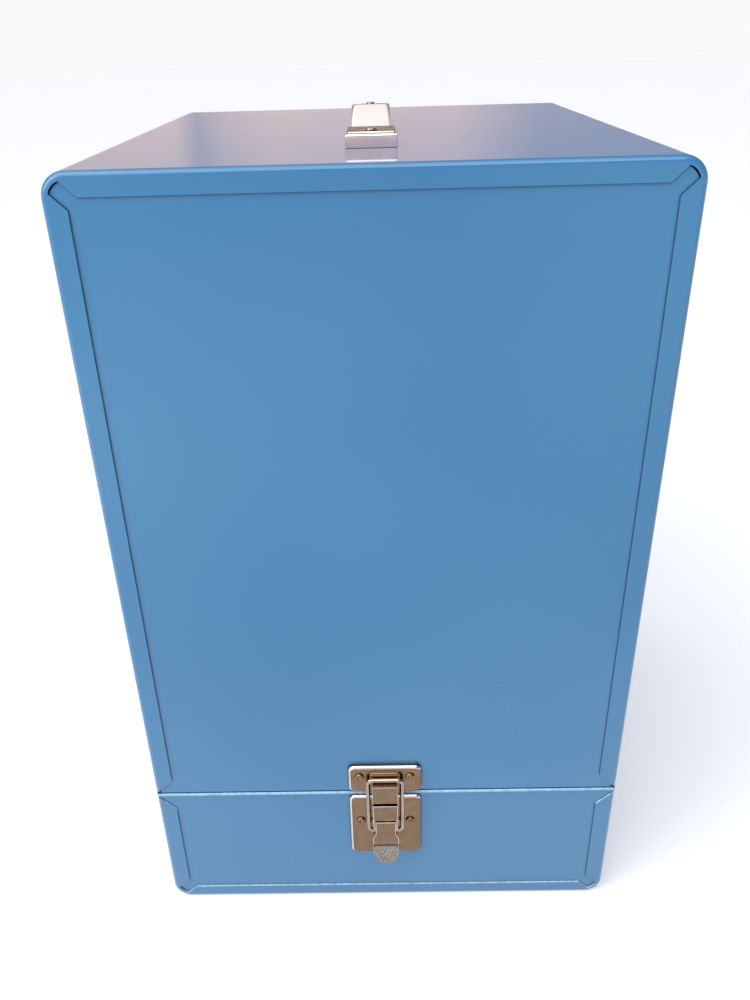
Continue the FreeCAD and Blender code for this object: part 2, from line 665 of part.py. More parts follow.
def latch_bail():
    """A wire loop from ear to ear of the lever, over the hook's shelf."""
    panel_y = sheet.wall - sheet.case_depth / 2
    shelf = sheet.base_height + sheet.split_gap + sheet.strike_rise - sheet.hook_drop + sheet.hook_height
    pivot_z = sheet.base_height - sheet.latch_plate_drop - sheet.pivot_drop
    top = FreeCAD.Vector(0, panel_y - sheet.bail_out, shelf + sheet.bail_rest + sheet.wire_radius)
    foot = FreeCAD.Vector(0, panel_y - sheet.pivot_out, pivot_z - sheet.crank)
    half_bridge = sheet.tongue_width / 2
    half = FreeCAD.Vector(half_bridge + sheet.pivot_overhang + sheet.bail_side_gap + sheet.wire_radius, 0, 0)
    ear = half_bridge - sheet.bridge_side_wall - sheet.lever_side_gap - sheet.ear_wall
    end = FreeCAD.Vector(ear + sheet.running_fit, 0, 0)
    path = rounded_wire([foot - end, foot - half, top - half, top + half, foot + half, foot + end],
                        sheet.bail_bend)
    circle = Part.Circle(foot - end, FreeCAD.Vector(1, 0, 0), sheet.wire_radius)
    wire = doc.addObject("Part::Feature", "latch_bail")
    wire.Shape = path.makePipeShell([Part.Wire([circle.toShape()])], True, False)
    keep(wire, "latch_bail")


def cap_rivet(front):
    return "%s(%s - cap_rivet_set)" % ("-" if front else "", CAP_OUTER)


CAP_RIVETS = [("0", cap_rivet(True)), ("0", cap_rivet(False))]


def handle_cap(name, front):
    """A pressed cap that holds one end of the strap; its slot opens to the handle's middle."""
    sign = "-" if front else ""
    outer = "%s%s" % (sign, CAP_OUTER)
    inner = "%s%s" % (sign, CAP_INNER)
    piece = new_body(name)
    profile = [
        (outer, "case_height"),
        (outer, "case_height + cap_front"),
        (inner, "case_height + cap_back"),
        (inner, "case_height"),
    ]
    feature = pad(piece, outline(piece, "YZ_Plane", profile), "strap_width + 2 * strap_play + 2 * cap_side",
                  middle=True)
    fillet(piece, feature, lambda e, w: not same(e.ZMin, w.ZMin) and not (
        along_x(e) and same(e.ZMax, w.ZMax)), "cap_round")
    deep = "%s(%s + slot_depth)" % (sign, CAP_INNER)
    mouth = "%s(%s - cap_length)" % (sign, CAP_INNER)
    deep_roof = "%s - slot_depth * %s" % (SLOT_ROOF, CAP_SLOPE)
    mouth_roof = "%s + cap_length * %s" % (SLOT_ROOF, CAP_SLOPE)
    high = " - strap_thick - 2 * strap_play"
    slot = [(deep, deep_roof + high), (mouth, mouth_roof + high), (mouth, mouth_roof), (deep, deep_roof)]
    pocket(piece, outline(piece, "YZ_Plane", slot), "strap_width + 2 * strap_play")
    hole = circles(piece, "XY_Plane", [("0", cap_rivet(front))], RIVET_HOLE, "case_height")
    pocket(piece, hole, "cap_back * 4")
    keep(piece, name)


def strap_body(name, width, thick):
    """The low arch of the strap: ends that follow the caps' slots, two ramps and a level middle."""
    piece = new_body(name)
    end = "(%s + strap_insert)" % CAP_INNER
    knee = "(%s - strap_ramp)" % CAP_INNER
    line = [
        (end, "%s - strap_insert * %s" % (STRAP_AXIS, CAP_SLOPE)),
        (CAP_INNER, STRAP_AXIS),
        (knee, STRAP_AXIS + " + strap_rise"),
    ]
    line += [("-" + y, z) for y, z in reversed(line)]
    under = [(y, "%s - (%s) / 2" % (z, thick)) for y, z in line]
    over = [(y, "%s + (%s) / 2" % (z, thick)) for y, z in reversed(line)]
    feature = pad(piece, outline(piece, "YZ_Plane", under + over), width, middle=True)
    fillet(piece, feature, lambda e, w: along_x(e) and not same(abs(e.YMax), w.YMax), "strap_bend")
    return piece


def handle_strap():
    """A steel core in a plastic sleeve, both slotted at each end for the caps' rivets."""
    slots = new_body("strap_slots")
    aside = "(rivet_radius + strap_slot_play)"
    for _, middle in CAP_RIVETS:
        pad(slots, box_outline(slots, "XY_Plane", "-" + aside, aside, middle + " - strap_slot_length / 2",
                               middle + " + strap_slot_length / 2", "case_height"), "cap_back * 2")
    core = strap_body("core_blank", "core_width", "core_thick")
    keep(cut("handle_core", core, slots), "handle_core")
    cavity = doc.addObject("Part::MultiFuse", "sleeve_cavity")
    cavity.Shapes = [
        strap_body("core_space", "core_width + 2 * core_play", "core_thick + 2 * core_play"),
        slots,
    ]
    doc.recompute()
    sleeve = strap_body("sleeve_blank", "strap_width", "strap_thick")
    keep(cut("handle_sleeve", sleeve, cavity), "handle_sleeve")


def top_holes():
    """Holes in the cover's top for the rivets of the handle caps."""
    holes = new_body("cover_top_holes")
    pad(holes, circles(holes, "XY_Plane", CAP_RIVETS, RIVET_HOLE, "case_height - 2 * wall"), "wall * 4")
    return holes


def build():
    base_wrap()
    cover_wrap()
    panels()
    base_collar()
    lantern_seat_ring()
    hinge_leaf("hinge_lower_leaf", False, LOWER_LEAF_RIVETS)
    hinge_leaf("hinge_upper_leaf", True, UPPER_LEAF_RIVETS)
    cross_pin("hinge_pin", HINGE_Y, HINGE_Z, "hinge_pin_radius", "2 * " + HALF_HINGE)
    leaf_face = "-(case_depth / 2 - wall + leaf_wall)"
    leaf_grip = "leaf_wall + wall"
    rivets("hinge_lower_rivets", "XZ_Plane", LOWER_LEAF_RIVETS, leaf_face, leaf_grip, back=True)
    rivets("hinge_upper_rivets", "XZ_Plane", UPPER_LEAF_RIVETS, leaf_face, leaf_grip, back=True)
    strike_plate()
    latch_base_plate()
    plate_face = "(case_depth / 2 - wall + plate_depth)"
    plate_grip = "plate_depth + wall"
    rivets("strike_rivets", "XZ_Plane", STRIKE_RIVETS, plate_face, plate_grip)
    rivets("latch_base_rivets", "XZ_Plane", LATCH_RIVETS, plate_face, plate_grip)
    cross_pin("lever_pivot_pin", PIVOT_Y, PIVOT_Z, "pivot_radius", "tongue_width + 2 * pivot_overhang")
    latch_lever()
    latch_bail()
    handle_cap("handle_cap_front", True)
    handle_cap("handle_cap_rear", False)
    handle_strap()
    cap_face = "(case_height + cap_front + (cap_rivet_set + rivet_head_radius) * %s)" % CAP_SLOPE
    rivets("handle_rivets", "XY_Plane", CAP_RIVETS, cap_face, "%s - case_height + wall" % cap_face)


def check_and_write():
    for each in doc.Objects:
        if "Invalid" in each.State or "Error" in each.State:
            raise ValueError("%s: %s" % (each.Name, each.State))
    for node in nodes:
        if node.Shape.isNull() or not node.Shape.isValid():
            raise ValueError(node.Label + " has no valid shape")
    os.makedirs("parts", exist_ok=True)
    for node in nodes:
        node.Shape.exportStep("parts/%s.step" % node.Label)


build()
doc.recompute()
check_and_write()
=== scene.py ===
import math

import bpy
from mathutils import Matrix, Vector


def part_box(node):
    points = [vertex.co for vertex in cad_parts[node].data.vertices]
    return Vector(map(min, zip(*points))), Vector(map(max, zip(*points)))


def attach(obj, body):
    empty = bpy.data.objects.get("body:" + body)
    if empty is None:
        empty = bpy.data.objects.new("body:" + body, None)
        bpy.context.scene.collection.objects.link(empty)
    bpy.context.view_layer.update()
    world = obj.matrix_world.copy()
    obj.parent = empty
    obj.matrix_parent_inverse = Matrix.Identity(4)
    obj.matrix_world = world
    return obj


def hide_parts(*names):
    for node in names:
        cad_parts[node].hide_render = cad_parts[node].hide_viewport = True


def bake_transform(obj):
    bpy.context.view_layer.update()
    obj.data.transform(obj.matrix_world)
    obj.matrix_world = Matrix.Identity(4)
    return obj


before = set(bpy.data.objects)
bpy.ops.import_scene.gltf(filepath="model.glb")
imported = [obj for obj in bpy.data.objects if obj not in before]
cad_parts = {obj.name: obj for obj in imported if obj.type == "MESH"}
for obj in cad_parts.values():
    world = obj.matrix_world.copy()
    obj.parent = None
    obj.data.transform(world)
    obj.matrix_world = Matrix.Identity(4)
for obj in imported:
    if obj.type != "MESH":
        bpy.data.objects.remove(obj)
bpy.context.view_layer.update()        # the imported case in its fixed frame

# Looks of a lantern carrying case: stoved blue enamel on folded sheet steel, a nickel draw latch,
# a zinc hinge and a cream strap in two pressed caps. Metres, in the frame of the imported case.
MM = 0.001

EDGE_ANGLE = math.radians(32)
DOME_ANGLE = math.radians(50)
FLAT_ANGLE = math.radians(0.4)
QUARTER_TURN = math.radians(90)
MERGE = 1e-6


# Handling of pieces

def take(piece):
    """Make one piece the only selected and the active object."""
    bpy.ops.object.select_all(action="DESELECT")
    piece.select_set(True)
    bpy.context.view_layer.objects.active = piece


def settle(piece, name):
    """Name a piece and put its place into its mesh."""
    piece.name = name
    piece.data.name = name
    take(piece)
    bpy.ops.object.transform_apply(location=True, rotation=True, scale=True)


def paint(piece, finish):
    """Give a piece one finish all over."""
    piece.data.materials.clear()
    piece.data.materials.append(finish)


def place(piece, body, slot, finish, *nodes):
    """Finish a piece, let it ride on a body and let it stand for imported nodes."""
    paint(piece, finish)
    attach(piece, body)
    if nodes:
        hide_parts(*nodes)


def pick_faces(piece, test):
    """Select the faces whose centre and normal pass a test. Edit mode before and after."""
    bpy.ops.mesh.select_mode(type="FACE")
    bpy.ops.mesh.select_all(action="DESELECT")
    bpy.ops.object.mode_set(mode="OBJECT")
    for face in piece.data.polygons:
        face.select = test(face.center, face.normal)
    bpy.ops.object.mode_set(mode="EDIT")


def pick_edges(piece, test):
    """Select the edges whose two ends pass a test. Edit mode before and after."""
    bpy.ops.mesh.select_mode(type="EDGE")
    bpy.ops.mesh.select_all(action="DESELECT")
    bpy.ops.object.mode_set(mode="OBJECT")
    spots = piece.data.vertices
    for edge in piece.data.edges:
        edge.select = test(spots[edge.vertices[0]].co, spots[edge.vertices[1]].co)
    bpy.ops.object.mode_set(mode="EDIT")


def pick_spots(piece, test):
    """Select the vertices whose place passes a test. Edit mode before and after."""
    bpy.ops.mesh.select_mode(type="VERT")
    bpy.ops.mesh.select_all(action="DESELECT")
    bpy.ops.object.mode_set(mode="OBJECT")
    for spot in piece.data.vertices:
        spot.select = test(spot.co)
    bpy.ops.object.mode_set(mode="EDIT")


def round_edges(piece, width, segments=2, rim=-1):
    """Round every sharp edge and leave the flats flat; rim is the finish slot of the rounded edges."""
    take(piece)
    rounding = piece.modifiers.new("rounding", "BEVEL")
    rounding.width = width
    rounding.segments = segments
    rounding.limit_method = "ANGLE"
    rounding.angle_limit = EDGE_ANGLE
    rounding.use_clamp_overlap = rim < 0
    rounding.material = rim
    bpy.ops.object.modifier_apply(modifier=rounding.name)
    bpy.ops.object.shade_smooth_by_angle(angle=EDGE_ANGLE)
    shading = piece.modifiers.new("shading", "WEIGHTED_NORMAL")
    shading.keep_sharp = True
    bpy.ops.object.modifier_apply(modifier=shading.name)


def merged_copy(node, name):
    """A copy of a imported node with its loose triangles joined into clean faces."""
    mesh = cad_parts[node].data.copy()
    piece = bpy.data.objects.new(name, mesh)
    mesh.name = name
    bpy.context.scene.collection.objects.link(piece)
    take(piece)
    bpy.ops.mesh.customdata_custom_splitnormals_clear()
    bpy.ops.object.mode_set(mode="EDIT")
    bpy.ops.mesh.select_all(action="SELECT")
    bpy.ops.mesh.remove_doubles(threshold=MERGE)
    bpy.ops.mesh.dissolve_limited(angle_limit=FLAT_ANGLE)
    bpy.ops.object.mode_set(mode="OBJECT")
    return piece


def rolled_copy(node, name, width, body, slot, finish):
    """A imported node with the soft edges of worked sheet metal."""
    piece = merged_copy(node, name)
    round_edges(piece, width)
    place(piece, body, slot, finish, node)
    return piece


def rimmed_copy(node, name, width, body, finish, rim=None):
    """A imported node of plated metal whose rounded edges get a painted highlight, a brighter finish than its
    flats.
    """
    piece = merged_copy(node, name)
    paint(piece, finish)
    piece.data.materials.append(rim or HIGHLIGHT_RIM)
    round_edges(piece, width, rim=1)
    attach(piece, body)
    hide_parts(node)
    return piece


def brighten(piece, test, finish_slot=1):
    """Give another finish to the faces whose centre and normal pass a test."""
    take(piece)
    bpy.ops.object.mode_set(mode="EDIT")
    pick_faces(piece, test)
    piece.active_material_index = finish_slot
    bpy.ops.object.material_slot_assign()
    bpy.ops.object.mode_set(mode="OBJECT")


def own_copy(pattern, name, spot, turn=(0, 0, 0)):
    """Another of a piece that was modelled once, with its own mesh."""
    piece = bpy.data.objects.new(name, pattern.data.copy())
    bpy.context.scene.collection.objects.link(piece)
    piece.location = spot
    piece.rotation_euler = turn
    settle(piece, name)
    return piece


# Finishes

class Finish:
    """A node material that starts from the principled shader and Object coordinates."""

    def __init__(self, name, **constants):
        self.material = bpy.data.materials.new(name)
        self.material.use_nodes = True
        self.tree = self.material.node_tree
        self.surface = self.tree.nodes["Principled BSDF"]
        self.spots = self.tree.nodes.new("ShaderNodeTexCoord").outputs["Object"]
        self.bump = None
        for socket, amount in constants.items():
            self.surface.inputs[socket.replace("_", " ")].default_value = amount

    def noise(self, size, detail=2.0, stretch=(1, 1, 1)):
        """Noise whose grain has a size in metres, drawn out along an axis by stretch."""
        mapping = self.tree.nodes.new("ShaderNodeMapping")
        mapping.inputs["Scale"].default_value = stretch
        self.tree.links.new(self.spots, mapping.inputs["Vector"])
        grain = self.tree.nodes.new("ShaderNodeTexNoise")
        grain.inputs["Scale"].default_value = 1 / size
        grain.inputs["Detail"].default_value = detail
        self.tree.links.new(mapping.outputs["Vector"], grain.inputs["Vector"])
        return grain.outputs["Fac"]

    def cells(self, size):
        grain = self.tree.nodes.new("ShaderNodeTexVoronoi")
        grain.inputs["Scale"].default_value = 1 / size
        self.tree.links.new(self.spots, grain.inputs["Vector"])
        return grain

    def painted_seam_shade(self, reach, floor_share):
        """Painted shade: zero deep in a seam or crease, where ambient occlusion finds it shaded, and one on
        an open face.
        """
        crease = self.tree.nodes.new("ShaderNodeAmbientOcclusion")
        crease.samples = 8
        crease.only_local = False
        crease.inputs["Distance"].default_value = reach
        return self.band(crease.outputs["AO"], floor_share, 0.92, 0, 1)

    def band(self, source, low, high, to_low, to_high):
        """A number that runs from one value to another as its source does."""
        spread = self.tree.nodes.new("ShaderNodeMapRange")
        spread.inputs["From Min"].default_value = low
        spread.inputs["From Max"].default_value = high
        spread.inputs["To Min"].default_value = to_low
        spread.inputs["To Max"].default_value = to_high
        self.tree.links.new(source, spread.inputs["Value"])
        return spread.outputs["Result"]

    def blend(self, share, one, other):
        """A colour between two others; each is a colour or an output."""
        mix = self.tree.nodes.new("ShaderNodeMix")
        mix.data_type = "RGBA"
        self.feed(mix.inputs[0], share)
        self.feed(mix.inputs[6], one)
        self.feed(mix.inputs[7], other)
        return mix.outputs[2]

    def feed(self, socket, source):
        if isinstance(source, bpy.types.NodeSocket):
            self.tree.links.new(source, socket)
        else:
            socket.default_value = source

    def colour(self, source):
        self.tree.links.new(source, self.surface.inputs["Base Color"])

    def roughness(self, source):
        self.tree.links.new(source, self.surface.inputs["Roughness"])

    def relief(self, source, height, strength=1.0):
        """Stack one more relief of a real height on the surface."""
        bump = self.tree.nodes.new("ShaderNodeBump")
        bump.inputs["Distance"].default_value = height
        bump.inputs["Strength"].default_value = strength
        self.tree.links.new(source, bump.inputs["Height"])
        if self.bump:
            self.tree.links.new(self.bump, bump.inputs["Normal"])
        self.bump = bump.outputs["Normal"]
        self.tree.links.new(self.bump, self.surface.inputs["Normal"])


def enamel():
    """Stoved enamel: fine orange peel over sheet that buckles a little."""
    finish = Finish("blue_enamel", Coat_Weight=1.0, Coat_Roughness=0.05, Coat_IOR=1.42, IOR=1.4)
    clouds = finish.band(finish.noise(150 * MM, 1), 0.25, 0.75, 0, 1)
    paint_colour = finish.blend(clouds, *BLUES)
    # painted shade: the blue darkens to deep navy in seams and creases, where ambient occlusion finds them
    # enclosed
    finish.colour(finish.blend(finish.painted_seam_shade(1.3 * MM, 0.35), SEAM_SHADE_BLUE, paint_colour))
    finish.roughness(finish.band(finish.noise(70 * MM, 1), 0, 1, 0.25, 0.33))
    finish.relief(finish.noise(85 * MM, 0), 0.6 * MM, 0.5)
    finish.relief(finish.noise(1.3 * MM, 0), 0.006 * MM, 0.5)
    return finish.material


def painted_highlight_paint(name, low, high):
    """A painted highlight: light blue paint, mottled by noise, where an upturned sheet edge catches the
    light.
    """
    finish = Finish(name, Coat_Weight=1.0, Coat_Roughness=0.1)
    highlight_mottle = finish.band(finish.noise(3 * MM, 3), 0.3, 0.7, 0, 1)
    finish.colour(finish.blend(highlight_mottle, low, high))
    finish.roughness(finish.band(highlight_mottle, 0, 1, 0.2, 0.35))
    finish.relief(highlight_mottle, 0.02 * MM, 0.5)
    return finish.material


def nickel(name, bright, dull, low, high):
    """Nickel plate between two warm colours, with small stains and fine polishing marks."""
    finish = Finish(name, Metallic=1.0, IOR=1.8)
    stains = finish.band(finish.noise(5 * MM, 4), 0.3, 0.7, 0, 1)
    finish.colour(finish.blend(stains, bright, dull))
    finish.roughness(finish.band(finish.noise(2.2 * MM, 5), 0.3, 0.7, low, high))
    finish.relief(finish.noise(0.5 * MM, 2, (0.15, 1, 1)), 0.006 * MM, 0.5)
    return finish.material


def mottled_pad():
    """The thumb tab, dull and speckled grey."""
    finish = Finish("speckled_grey_pad", Metallic=1.0)
    speckle = finish.band(finish.noise(0.6 * MM, 3), 0.38, 0.62, 0, 1)
    finish.colour(finish.blend(speckle, *PAD_GREYS))
    finish.roughness(finish.band(speckle, 0, 1, 0.28, 0.45))
    finish.relief(speckle, 0.05 * MM, 0.5)
    return finish.material


def zinc():
    """Zinc plate with faint spangles and rolling marks."""
    finish = Finish("zinc_steel", Metallic=1.0)
    spangle = finish.band(finish.cells(6 * MM).outputs["Color"], 0, 1, 0, 1)
    finish.colour(finish.blend(spangle, *ZINC_GREYS))
    finish.roughness(finish.band(finish.noise(3 * MM, 4), 0.3, 0.7, 0.28, 0.42))
    finish.relief(finish.noise(0.7 * MM, 2, (0.1, 1, 1)), 0.008 * MM, 0.5)
    return finish.material


def vinyl():
    """Smooth cream vinyl, a little yellower in places, with a fine moulded grain."""
    finish = Finish("cream_vinyl", IOR=1.48, Subsurface_Weight=0.08, Subsurface_Scale=0.6 * MM)
    age = finish.band(finish.noise(14 * MM, 3), 0.35, 0.7, 0, 1)
    finish.colour(finish.blend(age, *CREAMS))
    finish.roughness(finish.band(finish.noise(4 * MM, 3), 0.3, 0.7, 0.38, 0.52))
    finish.relief(finish.noise(0.45 * MM, 2), 0.03 * MM, 0.5)
    return finish.material


# Linear colours, each pair the two ends of a finish's own variation.
BLUES = ((0.024, 0.172, 0.370, 1), (0.050, 0.222, 0.420, 1))
# painted shade: the navy of the enamel's seams and creases
SEAM_SHADE_BLUE = (0.006, 0.030, 0.085, 1)
# painted highlight: the light blue of the base flanges' upturned edges
EDGE_HIGHLIGHT_BLUES = ((0.30, 0.46, 0.62, 1), (0.66, 0.76, 0.84, 1))
# painted highlight: the pale blue of the bead under the split
BEAD_HIGHLIGHT_BLUES = ((0.16, 0.42, 0.62, 1), (0.30, 0.56, 0.74, 1))
# painted reflection: the plates' flats are dark warm brown for the warm room they reflect
PLATE_REFLECTION_BROWNS = ((0.29, 0.190, 0.115, 1), (0.23, 0.150, 0.090, 1))
# painted highlight: the near-white of the plates' rims
RIM_HIGHLIGHT_WHITES = ((0.92, 0.86, 0.80, 1), (0.78, 0.71, 0.64, 1))
PAD_GREYS = ((0.15, 0.125, 0.105, 1), (0.50, 0.46, 0.41, 1))
BEND_BROWNS = ((0.14, 0.085, 0.055, 1), (0.10, 0.06, 0.04, 1))
WIRE_TANS = ((0.50, 0.40, 0.32, 1), (0.42, 0.33, 0.26, 1))
CAP_SILVERS = ((0.92, 0.82, 0.80, 1), (0.82, 0.73, 0.71, 1))
LACQUER_TANS = ((0.70, 0.46, 0.24, 1), (0.60, 0.39, 0.20, 1))
ZINC_GREYS = ((0.52, 0.53, 0.55, 1), (0.66, 0.67, 0.68, 1))
CREAMS = ((0.94, 0.89, 0.81, 1), (0.90, 0.84, 0.73, 1))

ENAMEL = enamel()
EDGE_HIGHLIGHT_PAINT = painted_highlight_paint("painted_blue_edge_highlight", *EDGE_HIGHLIGHT_BLUES)
BEAD_HIGHLIGHT_PAINT = painted_highlight_paint("painted_bead_highlight_blue", *BEAD_HIGHLIGHT_BLUES)
# painted reflection: the plate's dark warm brown stands in for a warm room it reflects; its stains are its
# own
NICKEL = nickel("nickel_painted_warm_reflection", *PLATE_REFLECTION_BROWNS, 0.14, 0.24)
HIGHLIGHT_RIM = nickel("nickel_painted_rim_highlight", *RIM_HIGHLIGHT_WHITES, 0.22, 0.34)
PAD = mottled_pad()
BEND = nickel("bend_shade", *BEND_BROWNS, 0.22, 0.32)
WIRE = nickel("bright_nickel_wire", *WIRE_TANS, 0.08, 0.14)
CAP = nickel("cap_nickel", *CAP_SILVERS, 0.10, 0.18)
LACQUER = nickel("aged_lacquer", *LACQUER_TANS, 0.24, 0.34)
ZINC = zinc()
CREAM = vinyl()


# Folded steel

SHEET_EDGE = 0.16 * MM        # rounding of the painted sheet's edges
FLANGE_DEPTH = 1.2 * MM       # depth behind the front in which its flanges' edges lie
BEAD_ZONE = 3 * MM            # height of the zone under the split that holds the bead


def sheet_steel():
    """The wraps and the base's front get soft sheet edges; the other flat panels keep theirs."""
    rolled_copy("cover_wrap", "cover_sheet", SHEET_EDGE, "cover", "blue_paint", ENAMEL)
    base = rolled_copy("base_wrap", "base_sheet", SHEET_EDGE, "base", "blue_paint", ENAMEL)
    base.data.materials.append(EDGE_HIGHLIGHT_PAINT)
    low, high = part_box("base_wrap")
    face = low.y + FLANGE_DEPTH
    bead_foot = high.z - BEAD_ZONE
    # painted highlight: the upturned edges of the base's flanges get a light blue that stands in for the
    # light they catch
    brighten(base, lambda c, n: n.z > 0.4 and c.y < face and c.z < bead_foot)
    front = rolled_copy("base_front_panel", "base_front_sheet", SHEET_EDGE, "base", "blue_paint", ENAMEL)
    front.data.materials.append(BEAD_HIGHLIGHT_PAINT)
    # painted highlight: the bead's upper rounding under the split gets a pale glossy blue for the light it
    # catches
    brighten(front, lambda c, n: n.z > 0.35 and n.y < -0.3 and c.z > bead_foot)
    for node in ("cover_front_panel", "cover_rear_panel", "base_rear_panel", "base_collar",
                 "lantern_seat_ring"):
        paint(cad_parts[node], ENAMEL)


# Rivets

HEAD_INSET = 2.4 * MM         # from the end of a rivet row's box to the rivet's axis
HEAD_SHARE = 0.85             # share of a head's height that is rounded over


def rivet_head(radius, height, dimple):
    """One domed rivet head that faces +Z, with a small pressed dimple."""
    bpy.ops.mesh.primitive_cylinder_add(vertices=36, radius=radius, depth=height, location=(0, 0, height / 2))
    head = bpy.context.object
    settle(head, "rivet_head_pattern")
    bpy.ops.object.mode_set(mode="EDIT")
    top = height * 0.99
    pick_edges(head, lambda a, b: a.z > top and b.z > top)
    bpy.ops.mesh.bevel(offset=height * HEAD_SHARE, segments=5, profile=0.6, affect="EDGES")
    pick_faces(head, lambda c, n: n.z > 0.9 and c.xy.length < dimple / 10)
    bpy.ops.mesh.inset(thickness=max(radius - height * HEAD_SHARE - dimple * 1.15, 0.02 * MM))
    bpy.ops.mesh.inset(thickness=dimple * 0.3, depth=-dimple * 0.25)
    bpy.ops.mesh.inset(thickness=dimple * 0.3, depth=-dimple * 0.45)
    bpy.ops.object.mode_set(mode="OBJECT")
    bpy.ops.object.shade_smooth_by_angle(angle=DOME_ANGLE)
    return head


def latch_rivets():
    """Two dimpled heads on each latch plate."""
    head_height = 1.0 * MM
    head = rivet_head(2.4 * MM, head_height, 1.05 * MM)
    for row, node, body in (("strike", "strike_rivets", "cover"),
                            ("latch_base", "latch_base_rivets", "base")):
        low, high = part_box(node)
        face = low.y + head_height
        level = (low.z + high.z) / 2
        for side, x in (("left", low.x + HEAD_INSET), ("right", high.x - HEAD_INSET)):
            rivet = own_copy(head, "%s_rivet_%s" % (row, side), (x, face, level), (QUARTER_TURN, 0, 0))
            place(rivet, body, "nickel_plate", NICKEL, node)
    bpy.data.objects.remove(head)


def cap_rivets():
    """One dimpled head on each handle cap."""
    head = rivet_head(2.3 * MM, 0.75 * MM, 0.6 * MM)
    seat_depth = 1.05 * MM
    low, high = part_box("handle_rivets")
    for side, y in (("front", low.y + HEAD_INSET), ("rear", high.y - HEAD_INSET)):
        rivet = own_copy(head, "cap_rivet_%s" % side, (0, y, high.z - seat_depth))
        place(rivet, "cover", "nickel_plate", WIRE, "handle_rivets")
    bpy.data.objects.remove(head)


# Latch

RIDGE_LEVEL = 13.4 * MM       # height of the strike's rib above the strike's underside
PAD_HEIGHT = 10.0 * MM        # height of the thumb tab's speckled part
BEND_HEIGHT = 1.5 * MM        # height of the shaded bend above it


def rolled_over(centre, normal):
    """The rolled rim along the top and left of a plate, where it catches the light: it gets a painted
    highlight.
    """
    return normal.y < -0.2 and (normal.z > 0.25 or normal.x < -0.25)


def thumb_tab(lever):
    """A speckled pad below the plates, under a shaded bend."""
    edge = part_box("latch_lever")[0].z + PAD_HEIGHT
    bend = edge + BEND_HEIGHT
    take(lever)
    bpy.ops.object.mode_set(mode="EDIT")
    for level in (edge, bend):
        bpy.ops.mesh.select_all(action="SELECT")
        bpy.ops.mesh.bisect(plane_co=(0, 0, level), plane_no=(0, 0, 1))
    bpy.ops.object.mode_set(mode="OBJECT")
    lever.data.materials.append(PAD)
    lever.data.materials.append(BEND)
    brighten(lever, lambda c, n: n.y < -0.8 and c.z < edge, 2)
    brighten(lever, lambda c, n: n.y < -0.8 and edge < c.z < bend, 3)


def latch():
    """Two pressed plates, the over-centre lever with its thumb tab and the wire bail."""
    strike = rimmed_copy("strike_plate", "strike_pressing", 0.14 * MM, "cover", NICKEL)
    # painted highlight: the top and left rims of the upper plate get the near-white rim finish
    brighten(strike, rolled_over)
    pressing = rimmed_copy("latch_base_plate", "latch_pressing", 0.28 * MM, "base", NICKEL)
    # painted highlight: the same on the lower plate's top and left rims
    brighten(pressing, rolled_over)
    lever = rimmed_copy("latch_lever", "lever_pressing", 0.3 * MM, "lever", NICKEL)
    thumb_tab(lever)
    bail = merged_copy("latch_bail", "bail_wire")
    take(bail)
    bpy.ops.object.shade_smooth_by_angle(angle=math.radians(40))
    place(bail, "bail", "nickel_plate", WIRE, "latch_bail")
    paint(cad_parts["lever_pivot_pin"], NICKEL)


def strike_ridge():
    """The rib pressed into the strike plate above the bail."""
    low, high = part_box("strike_plate")
    length, radius, end_round, flattening = 15.4 * MM, 1.8 * MM, 1.5 * MM, 0.5
    centre = (0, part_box("strike_rivets")[0].y + 1.0 * MM, low.z + RIDGE_LEVEL)
    bpy.ops.mesh.primitive_cylinder_add(vertices=28, radius=radius, depth=length, location=centre,
                                        rotation=(0, QUARTER_TURN, 0))
    ridge = bpy.context.object
    settle(ridge, "strike_ridge")
    bpy.ops.object.mode_set(mode="EDIT")
    end = length / 2 * 0.987
    pick_edges(ridge, lambda a, b: abs(a.x) > end and abs(b.x) > end and a.x * b.x > 0)
    bpy.ops.mesh.bevel(offset=end_round, segments=5, profile=0.5, affect="EDGES")
    bpy.ops.mesh.select_all(action="SELECT")
    bpy.ops.transform.resize(value=(1, flattening, 1), center_override=centre)
    bpy.ops.object.mode_set(mode="OBJECT")
    bpy.ops.object.shade_smooth_by_angle(angle=DOME_ANGLE)
    place(ridge, "cover", "nickel_plate", NICKEL)


# Hinge

def hinge():
    leaf_edge = 0.12 * MM
    rolled_copy("hinge_lower_leaf", "hinge_leaf_lower", leaf_edge, "base", "zinc_plate", ZINC)
    rolled_copy("hinge_upper_leaf", "hinge_leaf_upper", leaf_edge, "cover", "zinc_plate", ZINC)
    for node in ("hinge_pin", "hinge_lower_rivets", "hinge_upper_rivets"):
        paint(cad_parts[node], ZINC)


# Handle

STRAP_STEPS = 36
STRAP_THICK = 2.8 * MM
STRAP_END = 70.0 * MM         # from the handle's middle to the strap's end
STRAP_MOUTH = 57.5 * MM       # and to the cap's mouth
STRAP_KNEE = 19.5 * MM        # and to where the strap runs level
STRAP_AXIS = 393.7 * MM       # height of the strap's middle line at a mouth
STRAP_RISE = 4.0 * MM
CAP_SLOPE = 0.0526            # fall of the strap inside a cap
KNEE_REACH = 9.0 * MM         # length at each side over which a bend is eased


def strap_height(y):
    """Height of the strap's middle line: it leaves a cap, climbs and runs level."""
    y = abs(y)
    if y > STRAP_MOUTH:
        return STRAP_AXIS - (min(y, STRAP_END) - STRAP_MOUTH) * CAP_SLOPE
    return STRAP_AXIS + STRAP_RISE * min((STRAP_MOUTH - y) / (STRAP_MOUTH - STRAP_KNEE), 1.0)


def eased_height(y):
    samples = [strap_height(y + KNEE_REACH * step / 4) for step in range(-4, 5)]
    return sum(samples) / len(samples)


